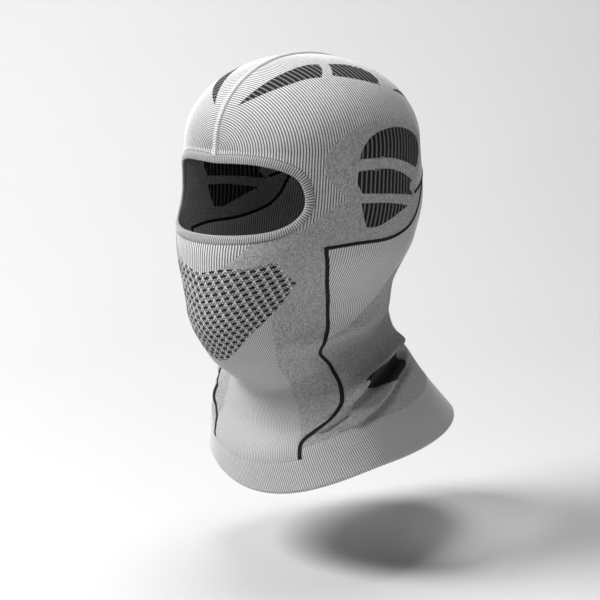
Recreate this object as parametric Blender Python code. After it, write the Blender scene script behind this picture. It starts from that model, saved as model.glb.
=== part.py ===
"""Knitted sports balaclava in its worn shape, modelled as the zones and seams it is knitted from.

Frame: +Z is up, the face looks along -Y and the wearer's left is +X. The origin is the top of the
head, on the inside of the crown. Lengths in the tables below are millimetres, angles are degrees.

The cloth is one smooth shell. A place on it is (around, rise): around is the angle from the middle
of the face towards the wearer's left ear and on to the nape, and rise goes from 0 at the hem's edge
to 1 on the seam along the crown. Every zone is an outline drawn in those two numbers.
"""
import math

import bmesh
import bpy
import numpy as np
from mathutils import Vector
from mathutils.geometry import delaunay_2d_cdt

MM = 0.001
CLOTH = 1.2            # thickness of the ribbed cloth
GAP = 0.3              # between two neighbouring zones
MESH_STEP = 16.0       # triangle size inside a zone
EDGE_STEP = 9.5        # and along its outline

SEAM_WIDTH = 4.0       # raised seam along the crown
BAND_WIDTH = 6.0       # ribbed band round the eye opening
STITCH_WIDTH = 1.2     # line of stitches outside the band, and above the hem
NECK_PIPING_WIDTH = 2.8
NAPE_PIPING_WIDTH = 1.9

BROW_RISE = 0.78       # above this ring the cloth closes on the crown seam
DOME_ROUNDNESS = 2.1
CROWN_MIDDLE = 2.0     # where the crown is highest, behind the origin

# Cross sections of the shell: rise | height at the front, side and back | reach to the front and
# back | half width | roundness of the front and back half (2 is an ellipse).
SECTIONS = (
    (0.00, -312, -285, -280, 52, 152, 85, 2.0, 2.0),    # edge of the hem, lying on the shoulders
    (0.10, -284, -256, -248, 58, 118, 77, 2.0, 2.0),    # top of the hem
    (0.22, -260, -234, -222, 50, 95, 71, 2.0, 2.0),     # neck
    (0.32, -238, -212, -198, 52, 80, 57, 2.0, 2.0),     # throat
    (0.40, -210, -196, -184, 83, 75, 56, 1.9, 2.1),     # chin
    (0.50, -176, -168, -162, 101, 70, 62, 1.9, 2.1),    # mouth
    (0.60, -136, -132, -130, 102, 88, 75, 2.0, 2.1),    # nose
    (0.70, -102, -102, -102, 94, 97, 78, 2.1, 2.1),     # eyes
    (BROW_RISE, -62, -62, -62, 85, 88, 80, 2.1, 2.1),   # brow
)

# Outlines, as runs of (around, rise). Each run is a smooth curve, and runs meet in corners.
EYE_OPENING = ([(-12, 0.762), (0, 0.763), (12, 0.764), (24, 0.763), (36, 0.757), (44, 0.747),
                (48, 0.732), (49.5, 0.713), (47, 0.692), (41, 0.674), (32, 0.663), (18, 0.657),
                (0, 0.655), (-12, 0.656)],)

PIPING_CORNER = (62, 0.620)
PIPING_END = (33.5, 0.083)
NECK_PIPING = [PIPING_CORNER, (63, 0.595), (65, 0.552), (68, 0.510), (69, 0.458), (66, 0.425),
               (63, 0.385), (62, 0.357), (64, 0.318), (65, 0.278), (62, 0.240), (59, 0.215),
               (50, 0.175), (41, 0.155), (35, 0.132), PIPING_END]
EAR_CORNER = (127, 0.730)
NAPE_PIPING_SIDE = [PIPING_CORNER, (76, 0.623), (92, 0.622), (103, 0.630), (112, 0.646),
                    (118, 0.672), (122, 0.702), EAR_CORNER]
NAPE_PIPING_BACK = [EAR_CORNER, (140, 0.742), (160, 0.750), (180, 0.752), (192, 0.751)]
VENT_CORNER = (113, 0.714)
NAPE_PIPING_BRANCH = [VENT_CORNER, (120, 0.721), EAR_CORNER]
NAPE_DIAGONAL = [(192, 0.604), (180, 0.605), (155, 0.600), (135, 0.585), (120, 0.560), (109, 0.532),
                 (102, 0.505), (90, 0.473), (84, 0.455), (78, 0.440), (66.5, 0.424)]

TEMPLE_TIP = (70, 0.718)
CHEEK_TOP = (50, 0.665)
MOUTH_CORNER = (51, 0.557)
NOSE_SIDE = (14, 0.588)
NOSE_EDGE = [NOSE_SIDE, (22, 0.610), (27, 0.635), (31, 0.662)]
THROAT_SIDE = [(46, 0.517), (43, 0.505), (42, 0.450), (40, 0.403), (34, 0.350), (33, 0.275),
               (33, 0.230), (33, 0.165), PIPING_END]
MOUTH_TOP = [(-12, 0.579), (0, 0.578), NOSE_SIDE, (27, 0.590), (41, 0.600)]
MOUTH_BOTTOM = [(46, 0.517), (38, 0.485), (28, 0.453), (18, 0.425), (8, 0.407), (0, 0.402), (-12, 0.402)]

SIDE_PANEL = (
    [CHEEK_TOP, (58, 0.695), (64, 0.709), TEMPLE_TIP],
    [TEMPLE_TIP, (63, 0.737), (58, 0.750), (56.5, 0.772), (61, 0.795), (68, 0.810), (76, 0.819),
     (84, 0.824), (92, 0.826), (102, 0.825), (112, 0.818), (120, 0.806), (126, 0.787), (125, 0.766),
     (119, 0.745), (115, 0.729), VENT_CORNER],
    NAPE_PIPING_BRANCH,
    NAPE_PIPING_SIDE[::-1],
    NECK_PIPING,
    THROAT_SIDE[::-1],
    [THROAT_SIDE[0], MOUTH_CORNER],
    [MOUTH_CORNER, (46, 0.573), MOUTH_TOP[-1]],
    MOUTH_TOP[:1:-1],
    NOSE_EDGE,
)
NAPE_PANEL = (NAPE_PIPING_SIDE, NAPE_PIPING_BACK, NAPE_DIAGONAL, NECK_PIPING[5::-1])
NECK_BACK_PANEL = (NAPE_DIAGONAL, NECK_PIPING[5:], [PIPING_END, (192, 0.083)])
THROAT_PANEL = (MOUTH_BOTTOM[::-1], THROAT_SIDE, [PIPING_END, (-12, 0.083)])
NOSE_PANEL = (MOUTH_TOP[:3], NOSE_EDGE, [NOSE_EDGE[-1], (-12, 0.665)])
MOUTH_MESH = (MOUTH_TOP, [MOUTH_TOP[-1], (46, 0.573), MOUTH_CORNER], [MOUTH_CORNER, MOUTH_BOTTOM[0]],
              MOUTH_BOTTOM)

SIDE_VENTS = {
    "side_vent_upper": ([(74, 0.769), (76, 0.786), (81, 0.801), (89, 0.810), (98, 0.812), (107, 0.807),
                         (116, 0.795), (121, 0.780), (121, 0.765), (116, 0.748)],
                        [(116, 0.748), (104, 0.759), (93, 0.767), (84, 0.769), (74, 0.769)]),
    "side_vent_middle": ([(74, 0.754), (85, 0.755), (93, 0.753), (101, 0.746), (110, 0.734)],
                         [(110, 0.734), (108, 0.723), (112, 0.710)],
                         [(112, 0.710), (95, 0.719), (77, 0.725)],
                         [(77, 0.725), (74, 0.739), (74, 0.754)]),
    "side_vent_lower": ([(77, 0.711), (92, 0.706), (107, 0.694)],
                        [(107, 0.694), (99, 0.681), (92, 0.667), (87, 0.658), (81, 0.660)],
                        [(81, 0.660), (79, 0.684), (77, 0.711)]),
}
CROWN_VENTS = {
    "crown_vent_front": ([(28, 0.961), (40, 0.956), (52, 0.953), (63, 0.951), (74, 0.949), (80, 0.943)],
                         [(80, 0.943), (77, 0.928), (72, 0.913)],
                         [(72, 0.913), (65, 0.919), (55, 0.923), (46, 0.930), (37, 0.941), (28, 0.961)]),
    "crown_vent_rear": ([(84.5, 0.939), (92, 0.935), (100, 0.925)],
                        [(100, 0.925), (104, 0.906), (100.5, 0.883)],
                        [(100.5, 0.883), (89, 0.897), (78, 0.911)],
                        [(78, 0.911), (82, 0.926), (84.5, 0.939)]),
    "crown_vent_back": ([(108, 0.877), (118, 0.882), (130, 0.877), (142, 0.862)],
                        [(142, 0.862), (143, 0.850), (140, 0.838)],
                        [(140, 0.838), (132, 0.855), (122, 0.869), (108, 0.877)]),
}
NECK_INSET = ([(80, 0.249), (90, 0.262), (101, 0.273), (115, 0.282), (133, 0.284)],
              [(133, 0.284), (128, 0.262), (118, 0.240), (109, 0.222)],
              [(109, 0.222), (100, 0.227), (90, 0.236), (80, 0.249)])
HEM_TOP, HEM_LINE = 0.113, 0.083
CROWN_LOW = 0.66       # the crown panels stay above this, and later zones cover their lower edge

LIGHT_GREY = (0.62, 0.62, 0.63)
MID_GREY = (0.25, 0.25, 0.26)
BLACK = (0.018, 0.018, 0.02)


# ---------------------------------------------------------------- the shell

def through(knots, values, at):
    """A smooth curve through a table that never overshoots its values."""
    knots, values, at = np.asarray(knots), np.asarray(values, float), np.asarray(at, float)
    step = np.diff(knots)
    grade = np.diff(values) / step
    slope = np.zeros(len(knots))
    slope[0], slope[-1] = grade[0], grade[-1]
    same_way = grade[:-1] * grade[1:] > 0
    slope[1:-1][same_way] = 2 / (1 / grade[:-1][same_way] + 1 / grade[1:][same_way])
    i = np.clip(np.searchsorted(knots, at) - 1, 0, len(step) - 1)
    t = (at - knots[i]) / step[i]
    ends = values[i] * (1 + 2 * t) * (1 - t) ** 2 + values[i + 1] * (3 - 2 * t) * t ** 2
    return ends + step[i] * t * (1 - t) * (slope[i] * (1 - t) - slope[i + 1] * t)


def shell(around, rise):
    """Points of the outer face of the cloth, in millimetres."""
    around, rise = np.broadcast_arrays(np.radians(np.asarray(around, float)), np.asarray(rise, float))
    table = np.array(SECTIONS)
    ring = np.clip(rise, 0, BROW_RISE)
    front_z, side_z, back_z, front, back, wide, n_front, n_back = (
        through(table[:, 0], table[:, k], ring) for k in range(1, 9))
    ahead = np.cos(around)
    across = np.sin(around)
    facing = ahead > 0
    power = 2 / np.where(facing, n_front, n_back)
    x = wide * np.sign(across) * np.abs(across) ** power
    y = np.where(facing, -front, back) * np.abs(ahead) ** power
    z = side_z + (np.where(facing, front_z, back_z) - side_z) * ahead ** 2
    # Above the brow each vertical row of knitting runs square to the seam, at a constant y.
    reach = np.where(y < CROWN_MIDDLE, front + CROWN_MIDDLE, back - CROWN_MIDDLE)
    along = np.clip(np.abs(y - CROWN_MIDDLE) / reach, 0, 1)
    seam_z = z * (1 - (1 - along ** DOME_ROUNDNESS) ** (1 / DOME_ROUNDNESS))
    turn = np.clip((1 - rise) / (1 - BROW_RISE), 0, 1) * math.pi / 2
    dome = rise > BROW_RISE
    x = np.where(dome, x * np.sin(turn), x)
    z = np.where(dome, z + (seam_z - z) * np.cos(turn), z)
    return np.stack([x, y, z + CLOTH], -1)


def outward(around, rise):
    """Unit normals of the shell; where the rows meet at its front and back it faces along Y."""
    around, rise = np.asarray(around, float), np.asarray(rise, float)
    low, high = np.clip(rise - 0.002, 0, 1), np.clip(rise + 0.002, 0, 1)
    sideways = shell(around + 0.3, rise) - shell(around - 0.3, rise)
    upward = shell(around, high) - shell(around, low)
    normal = np.cross(sideways, upward)
    size = np.linalg.norm(normal, axis=-1, keepdims=True)
    fallback = np.stack([0 * around, np.where(np.cos(np.radians(around)) > 0, -1.0, 1.0), 0 * around], -1)
    return np.where(size > 1e-3, normal / np.maximum(size, 1e-9), fallback)


def stretch(around, rise):
    """Millimetres of cloth per degree around, and per unit of rise."""
    sideways = shell(around + 0.5, rise) - shell(around - 0.5, rise)
    upward = shell(around, np.minimum(rise + 0.005, 1)) - shell(around, np.minimum(rise + 0.005, 1) - 0.01)
    return (np.maximum(np.linalg.norm(sideways, axis=-1), 0.25),
            np.maximum(np.linalg.norm(upward, axis=-1) / 0.01, 150.0))


# ---------------------------------------------------------------- outlines

FLAT = np.array([1.35, 400.0])     # the flat drawing's millimetres per degree, and per unit of rise


def smooth_run(points):
    """A Catmull-Rom curve through the points, cut into steps of EDGE_STEP on the flat drawing."""
    p = np.array(points, float)
    p = np.vstack([2 * p[0] - p[1], p, 2 * p[-1] - p[-2]])
    out = []
    for a, b, c, d in zip(p, p[1:], p[2:], p[3:]):
        count = max(1, round(np.linalg.norm((c - b) * FLAT) / EDGE_STEP))
        for k in range(count):
            t = k / count
            out.append(0.5 * (2 * b + (c - a) * t + (2 * a - 5 * b + 4 * c - d) * t ** 2
                              + (3 * b - a - 3 * c + d) * t ** 3))
    return np.array(out + [p[-2]])


def outline(runs):
    return np.vstack([smooth_run(run)[:-1] for run in runs])


def moved_sideways(path, distance):
    """The path shifted square to itself by a distance on the cloth, to its left."""
    scale = np.stack(stretch(path[:, 0], path[:, 1]), -1)
    ahead = np.gradient(path, axis=0) * scale
    ahead /= np.linalg.norm(ahead, axis=1, keepdims=True)
    return path + np.stack([-ahead[:, 1], ahead[:, 0]], -1) * distance / scale


def strip(points, width):
    """Outline of a strip of even width along a smooth path."""
    path = smooth_run(points)
    return np.vstack([moved_sideways(path, width / 2), moved_sideways(path, -width / 2)[::-1]])


def seam_outline():
    """The crown seam lies within half its width of the middle plane, from the brow to the nape piping."""
    half = SEAM_WIDTH / 2
    around = np.concatenate([np.linspace(1.5, 12, 4), np.linspace(18, 162, 25), np.linspace(168, 178.5, 4)])
    wide = np.abs(shell(around, BROW_RISE)[:, 0])
    rise = 1 - (1 - BROW_RISE) * np.arcsin(np.clip(half / wide, 0, 1)) * 2 / math.pi
    front = [(-12, 1.02), (-12, 0.74), (around[0], 0.74)]
    back = [(around[-1], 0.7515), (192, 0.7515), (192, 1.02)]
    return np.vstack([front, np.stack([around, rise], -1), back])


def rectangle(left, right, bottom, top):
    return np.array([(left, bottom), (right, bottom), (right, top), (left, top)], float)


def painted_zones():
    """Every zone's outline; where outlines overlap, the later zone lies on top."""
    opening = outline(EYE_OPENING)
    zones = [
        ("crown", rectangle(-12, 192, CROWN_LOW, 1.02)),
        ("neck_back_panel", outline(NECK_BACK_PANEL)),
        ("nape_panel", outline(NAPE_PANEL)),
        ("side_panel", outline(SIDE_PANEL)),
        ("hem_rib", rectangle(20, 192, HEM_LINE, HEM_TOP)),
        ("throat_panel", outline(THROAT_PANEL)),
        ("nose_panel", outline(NOSE_PANEL)),
        ("mouth_mesh", outline(MOUTH_MESH)),
    ]
    zones += [(name, outline(runs)) for name, runs in SIDE_VENTS.items()]
    zones += [(name, outline(runs)) for name, runs in CROWN_VENTS.items()]
    zones += [
        ("neck_inset", outline(NECK_INSET)),
        ("nape_piping", strip(NAPE_PIPING_SIDE, NAPE_PIPING_WIDTH)),
        ("nape_piping", strip(NAPE_PIPING_BACK, NAPE_PIPING_WIDTH)),
        ("nape_piping", strip(NAPE_PIPING_BRANCH, NAPE_PIPING_WIDTH)),
        ("crown_seam", seam_outline()),
        ("nape_piping", strip(NAPE_PIPING_BACK[1:], NAPE_PIPING_WIDTH)),
        ("neck_piping", strip([(62, 0.6242)] + NECK_PIPING[1:-1] + [(33.4, 0.07)], NECK_PIPING_WIDTH)),
        ("hem_stitching", rectangle(-12, 192, HEM_LINE - 0.004, HEM_LINE)),
        ("hem_band", rectangle(-12, 192, 0, HEM_LINE - 0.004)),
        ("eye_band_stitching", moved_sideways(opening, BAND_WIDTH + STITCH_WIDTH)),
        ("eye_band", moved_sideways(opening, BAND_WIDTH)),
        ("", opening),
    ]
    return zones


# ---------------------------------------------------------------- cutting the cloth

def inside(points, polygon):
    """Which points lie inside a closed polygon."""
    x, y = points[:, 0], points[:, 1]
    hit = np.zeros(len(points), bool)
    for (x0, y0), (x1, y1) in zip(polygon, np.roll(polygon, -1, axis=0)):
        if y0 != y1:
            crosses = ((y0 > y) != (y1 > y)) & (x < x0 + (y - y0) * (x1 - x0) / (y1 - y0))
            hit ^= crosses
    return hit


def filling(polygons):
    """Points spread evenly over the cloth, clear of every outline."""
    points = []
    rows = round(FLAT[1] / MESH_STEP)
    for row in range(1, rows):
        rise = row / rows
        length = float(np.sum(stretch(np.arange(0.5, 180), rise)[0]))
        count = max(3, round(length / MESH_STEP))
        points += [(180 * (k + 0.5 * (row % 2)) / count, rise) for k in range(count)]
    points = np.array(points)
    drawn = np.vstack(polygons) * FLAT
    far = [np.min(np.linalg.norm(drawn - p * FLAT, axis=1)) > 0.6 * EDGE_STEP for p in points]
    return points[np.array(far)]


def subdivided(polygon):
    """The closed polygon with extra points, so that no side is much longer than MESH_STEP."""
    out = []
    for a, b in zip(polygon, np.roll(polygon, -1, axis=0)):
        count = max(1, round(np.linalg.norm((b - a) * FLAT) / MESH_STEP))
        out += [a + (b - a) * k / count for k in range(count)]
    return np.array(out)


def cut_cloth(zones):
    """Cut the left half of the flat drawing along every outline: its corners, and each zone's triangles."""
    limits = rectangle(0, 180, 0, 1)
    polygons = [subdivided(shape) for shape in [limits] + [shape for _, shape in zones]]
    corners, sides = [], []
    for shape in polygons:
        first = len(corners)
        corners += [Vector(p) for p in shape * FLAT]
        sides += [(first + k, first + (k + 1) % len(shape)) for k in range(len(shape))]
    corners += [Vector(p) for p in filling(polygons) * FLAT]
    found = delaunay_2d_cdt(corners, sides, [], 0, 1e-4)
    places = np.array([tuple(p) for p in found[0]]) / FLAT
    triangles = np.array([tuple(t) for t in found[2] if len(t) == 3])
    middles = places[triangles].mean(axis=1)
    triangles = triangles[inside(middles, limits)]
    middles = places[triangles].mean(axis=1)
    names = np.full(len(triangles), "", dtype=object)
    for name, shape in zones:
        names[inside(middles, shape)] = name
    return places, triangles, names


def zone_faces(places, triangles):
    """Join the corners that fall on one point of the cloth, and drop the triangles that vanish."""
    points = shell(places[:, 0], places[:, 1])
    keys, faces = {}, []
    for triangle in triangles:
        face = [keys.setdefault(tuple(np.round(points[k], 2)), k) for k in triangle]
        if len(set(face)) == 3:
            faces.append(face)
    return faces


def rim_of(faces):
    """The directed sides that belong to one triangle only."""
    sides = {(f[k], f[(k + 1) % 3]) for f in faces for k in range(3)}
    return [side for side in sides if side[::-1] not in sides]


def pulled_in(points, normals, rim, on_middle):
    """Draw the rim back by half a gap, along the cloth and square to the rim."""
    pull = {}
    for a, b in rim:
        if on_middle(a) and on_middle(b):
            continue
        way = points[b] - points[a]
        inward = np.cross(normals[a] + normals[b], way)
        inward /= np.linalg.norm(inward)
        for k in (a, b):
            pull.setdefault(k, []).append(inward)
    moved = points.copy()
    for k, ways in pull.items():
        total = np.sum(ways, axis=0)
        if on_middle(k):
            total[0] = 0
        share = max(np.dot(total, total) / len(ways), 0.35)
        moved[k] += total * (GAP / 2) / share
    return moved


def zone_solid(name, faces, places, top, bottom, centred):
    """A closed solid over the triangles, from the bottom level to the top level of the cloth."""
    around, rise = places[:, 0], places[:, 1]
    points, normals = shell(around, rise), outward(around, rise)
    middle = (np.abs(points[:, 0]) < 0.01) & centred

    def on_middle(k):
        return bool(middle[k])

    rim = rim_of(faces)
    points = pulled_in(points, normals, rim, on_middle)
    points[middle, 0] = 0
    normals[middle, 0] = 0
    mesh = bmesh.new()
    upper, lower = {}, {}
    for k in sorted({k for face in faces for k in face}):
        upper[k] = mesh.verts.new(Vector((points[k] + normals[k] * top) * MM))
        lower[k] = mesh.verts.new(Vector((points[k] + normals[k] * bottom) * MM))
    for a, b, c in faces:
        mesh.faces.new((upper[a], upper[b], upper[c]))
        mesh.faces.new((lower[c], lower[b], lower[a]))
    for a, b in rim:
        if not (on_middle(a) and on_middle(b)):
            mesh.faces.new((upper[b], upper[a], lower[a], lower[b]))
    bmesh.ops.triangulate(mesh, faces=mesh.faces)
    data = bpy.data.meshes.new(name)
    mesh.to_mesh(data)
    mesh.free()
    return data


# ---------------------------------------------------------------- objects

def material(name, colour, roughness):
    made = bpy.data.materials.new(name)
    made.use_nodes = True
    shader = made.node_tree.nodes["Principled BSDF"]
    shader.inputs["Base Color"].default_value = (*colour, 1)
    shader.inputs["Roughness"].default_value = roughness
    shader.inputs["Metallic"].default_value = 0
    made.diffuse_color = (*colour, 1)
    return made


def place(name, data, colour):
    piece = bpy.data.objects.new(name, data)
    bpy.context.scene.collection.objects.link(piece)
    data.materials.append(material(name, colour, 0.9))
    data.shade_smooth()
    data.set_sharp_from_angle(angle=math.radians(40))
    return piece


def add_mirror(piece):
    mirror = piece.modifiers.new("other half", "MIRROR")
    mirror.merge_threshold = 0.00005


def mirrored_copy(data, name):
    copy = data.copy()
    copy.name = name
    copy.materials.clear()
    for vertex in copy.vertices:
        vertex.co.x = -vertex.co.x
    copy.flip_normals()
    return copy


# zone: colour, height above the shell, thickness, and whether it crosses the middle plane
LOOKS = {
    "crown": (LIGHT_GREY, 0.0, CLOTH, False),
    "crown_seam": (LIGHT_GREY, 1.2, CLOTH + 1.2, True),
    "crown_vent_front": (BLACK, -0.1, CLOTH - 0.1, False),
    "crown_vent_rear": (BLACK, -0.1, CLOTH - 0.1, False),
    "crown_vent_back": (BLACK, -0.1, CLOTH - 0.1, False),
    "eye_band": (LIGHT_GREY, 0.8, CLOTH + 1.0, True),
    "eye_band_stitching": (MID_GREY, 0.3, CLOTH + 0.3, True),
    "side_panel": (MID_GREY, 0.0, CLOTH, False),
    "side_vent_upper": (BLACK, -0.1, CLOTH - 0.1, False),
    "side_vent_middle": (BLACK, -0.1, CLOTH - 0.1, False),
    "side_vent_lower": (BLACK, -0.1, CLOTH - 0.1, False),
    "nose_panel": (LIGHT_GREY, 0.0, CLOTH, True),
    "mouth_mesh": (MID_GREY, 0.0, CLOTH, True),
    "throat_panel": (LIGHT_GREY, 0.0, CLOTH, True),
    "nape_panel": (LIGHT_GREY, 0.0, CLOTH, True),
    "neck_piping": (BLACK, 0.2, CLOTH + 0.2, False),
    "nape_piping": (BLACK, 0.2, CLOTH + 0.2, True),
    "neck_inset": (BLACK, -0.1, CLOTH - 0.1, False),
    "neck_back_panel": (MID_GREY, 0.0, CLOTH, True),
    "hem_rib": (LIGHT_GREY, 0.0, CLOTH, True),
    "hem_stitching": (MID_GREY, 0.2, CLOTH + 0.2, True),
    "hem_band": (LIGHT_GREY, 0.3, CLOTH + 0.6, True),
}


def build():
    for old in list(bpy.data.objects):
        bpy.data.objects.remove(old, do_unlink=True)
    zones = painted_zones()
    places, triangles, names = cut_cloth(zones)
    places[np.abs(places[:, 0]) < 1e-3, 0] = 0
    for zone, (colour, top, thickness, centred) in LOOKS.items():
        faces = zone_faces(places, triangles[names == zone])
        name = zone if centred else zone + "_left"
        data = zone_solid(name, faces, places, top, top - thickness, centred)
        piece = place(name, data, colour)
        if centred:
            add_mirror(piece)
        else:
            place(zone + "_right", mirrored_copy(data, zone + "_right"), colour)


build()
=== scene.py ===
"""The looks of the knitted balaclava: every knit zone as fine ribbed cloth on the CAD's own shell.

The shell, its sections and its outlines are the part's own. A place on the cloth is (around, rise):
degrees from the middle of the face towards the left ear, and 0 at the hem's edge to 1 on the crown
seam. Lengths in the tables are millimetres, and the meshes are made in metres.
"""
import math

import bpy
import numpy as np
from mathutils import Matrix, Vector


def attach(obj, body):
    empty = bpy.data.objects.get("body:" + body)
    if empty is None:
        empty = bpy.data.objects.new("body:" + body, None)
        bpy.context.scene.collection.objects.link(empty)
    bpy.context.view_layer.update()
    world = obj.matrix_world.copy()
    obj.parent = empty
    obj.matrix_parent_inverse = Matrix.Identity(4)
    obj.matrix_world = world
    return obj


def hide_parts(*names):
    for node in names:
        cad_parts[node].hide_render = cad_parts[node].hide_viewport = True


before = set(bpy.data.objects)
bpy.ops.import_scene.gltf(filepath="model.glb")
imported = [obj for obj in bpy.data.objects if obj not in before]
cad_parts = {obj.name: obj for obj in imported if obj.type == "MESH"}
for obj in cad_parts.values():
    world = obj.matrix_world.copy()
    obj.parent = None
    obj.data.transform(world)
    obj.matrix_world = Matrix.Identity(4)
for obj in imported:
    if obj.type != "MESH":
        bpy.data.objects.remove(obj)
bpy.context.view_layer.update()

MM = 0.001
CLOTH = 1.2            # thickness of the cloth
WORN_STRETCH = 1.08    # assumed: how much longer the knit is worn than laid flat, each way
LEAST_FILLED = 0.32    # a zone that fills less of its rectangle is given a smaller one

RIBS = 264             # fine ribs round the hood
FINE_RIBS = 352        # finer ribs at the throat and the hem
COLUMNS_PER_RIB = 4
ROWS_BELOW_BROW = 172
ROWS_ON_DOME = 64
COURSE = 1.25          # height of one row of stitches
MESH_ROW = 3.95        # the mouth mesh's rows, in millimetres, and its columns round the hood
MESH_COLUMNS = 78
MESH_SHIFT = 0.36      # how far each row is shifted along the one below, in columns
MESH_TILT = 0.22       # how much each row climbs, as rise for one turn round the hood

SEAM_HALF = 2.6        # half the width of the crown seam
SEAM_POINTS = 21       # across it
SEAM_PITCH = 1.7       # from rib to rib along it
BAND_WIDTH = 6.0
BAND_PITCH = 1.5
NECK_PIPING_WIDTH = 3.0
NAPE_PIPING_WIDTH = 2.5
PIPING_PITCH = 1.7     # from stitch to stitch along it
HEM_STITCH = 2.2       # length of one stitch above the hem

EDGE_STEP = 3.0        # steps along a drawn outline
RISE_MM = 400.0        # the flat drawing's millimetres for one unit of rise
HEM_RISE_MM = 300.0    # the same, measured on the cloth at the hem

BROW_RISE = 0.78
DOME_ROUNDNESS = 2.1
CROWN_MIDDLE = 2.0

# Cross sections of the shell: rise | height at the front, side and back | reach to the front and
# back | half width | roundness of the front and back half (2 is an ellipse).
SECTIONS = (
    (0.00, -312, -285, -280, 52, 152, 85, 2.0, 2.0),    # edge of the hem, lying on the shoulders
    (0.10, -284, -256, -248, 58, 118, 77, 2.0, 2.0),    # top of the hem
    (0.22, -260, -234, -222, 50, 95, 71, 2.0, 2.0),     # neck
    (0.32, -238, -212, -198, 52, 80, 57, 2.0, 2.0),     # throat
    (0.40, -210, -196, -184, 83, 75, 56, 1.9, 2.1),     # chin
    (0.50, -176, -168, -162, 101, 70, 62, 1.9, 2.1),    # mouth
    (0.60, -136, -132, -130, 102, 88, 75, 2.0, 2.1),    # nose
    (0.70, -102, -102, -102, 94, 97, 78, 2.1, 2.1),     # eyes
    (BROW_RISE, -62, -62, -62, 85, 88, 80, 2.1, 2.1),   # brow
)

# Outlines, as runs of (around, rise). Each run is a smooth curve, and runs meet in corners.
EYE_OPENING = ([(-12, 0.762), (0, 0.763), (12, 0.764), (24, 0.763), (36, 0.757), (44, 0.747),
                (48, 0.732), (49.5, 0.713), (47, 0.692), (41, 0.674), (32, 0.663), (18, 0.657),
                (0, 0.655), (-12, 0.656)],)

PIPING_CORNER = (62, 0.620)
PIPING_END = (33.5, 0.083)
NECK_PIPING = [PIPING_CORNER, (63, 0.595), (65, 0.552), (68, 0.510), (69, 0.458), (66, 0.425),
               (63, 0.385), (62, 0.357), (64, 0.318), (65, 0.278), (62, 0.240), (59, 0.215),
               (50, 0.175), (41, 0.155), (35, 0.132), PIPING_END]
EAR_CORNER = (127, 0.730)
NAPE_PIPING_SIDE = [PIPING_CORNER, (76, 0.623), (92, 0.622), (103, 0.630), (112, 0.646),
                    (118, 0.672), (122, 0.702), EAR_CORNER]
NAPE_PIPING_BACK = [EAR_CORNER, (140, 0.742), (160, 0.750), (180, 0.752), (192, 0.751)]
VENT_CORNER = (113, 0.714)
NAPE_PIPING_BRANCH = [VENT_CORNER, (120, 0.721), EAR_CORNER]
NAPE_DIAGONAL = [(192, 0.604), (180, 0.605), (155, 0.600), (135, 0.585), (120, 0.560), (109, 0.532),
                 (102, 0.505), (90, 0.473), (84, 0.455), (78, 0.440), (66.5, 0.424)]

TEMPLE_TIP = (70, 0.718)
CHEEK_TOP = (50, 0.665)
MOUTH_CORNER = (51, 0.557)
NOSE_SIDE = (14, 0.588)
NOSE_EDGE = [NOSE_SIDE, (22, 0.610), (27, 0.635), (31, 0.662)]
THROAT_SIDE = [(46, 0.517), (43, 0.505), (42, 0.450), (40, 0.403), (34, 0.350), (33, 0.275),
               (33, 0.230), (33, 0.165), PIPING_END]
MOUTH_TOP = [(-12, 0.579), (0, 0.578), NOSE_SIDE, (27, 0.590), (41, 0.600)]
MOUTH_BOTTOM = [(46, 0.517), (38, 0.485), (28, 0.453), (18, 0.425), (8, 0.407), (0, 0.402), (-12, 0.402)]

SIDE_PANEL = (
    [CHEEK_TOP, (58, 0.695), (64, 0.709), TEMPLE_TIP],
    [TEMPLE_TIP, (63, 0.737), (58, 0.750), (56.5, 0.772), (61, 0.795), (68, 0.810), (76, 0.819),
     (84, 0.824), (92, 0.826), (102, 0.825), (112, 0.818), (120, 0.806), (126, 0.787), (125, 0.766),
     (119, 0.745), (115, 0.729), VENT_CORNER],
    NAPE_PIPING_BRANCH,
    NAPE_PIPING_SIDE[::-1],
    NECK_PIPING,
    THROAT_SIDE[::-1],
    [THROAT_SIDE[0], MOUTH_CORNER],
    [MOUTH_CORNER, (46, 0.573), MOUTH_TOP[-1]],
    MOUTH_TOP[:1:-1],
    NOSE_EDGE,
)
NAPE_PANEL = (NAPE_PIPING_SIDE, NAPE_PIPING_BACK, NAPE_DIAGONAL, NECK_PIPING[5::-1])
NECK_BACK_PANEL = (NAPE_DIAGONAL, NECK_PIPING[5:], [PIPING_END, (192, 0.083)])
THROAT_PANEL = (MOUTH_BOTTOM[::-1], THROAT_SIDE, [PIPING_END, (-12, 0.083)])
NOSE_PANEL = (MOUTH_TOP[:3], NOSE_EDGE, [NOSE_EDGE[-1], (-12, 0.665)])
MOUTH_MESH = (MOUTH_TOP, [MOUTH_TOP[-1], (46, 0.573), MOUTH_CORNER], [MOUTH_CORNER, MOUTH_BOTTOM[0]],
              MOUTH_BOTTOM)

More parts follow.
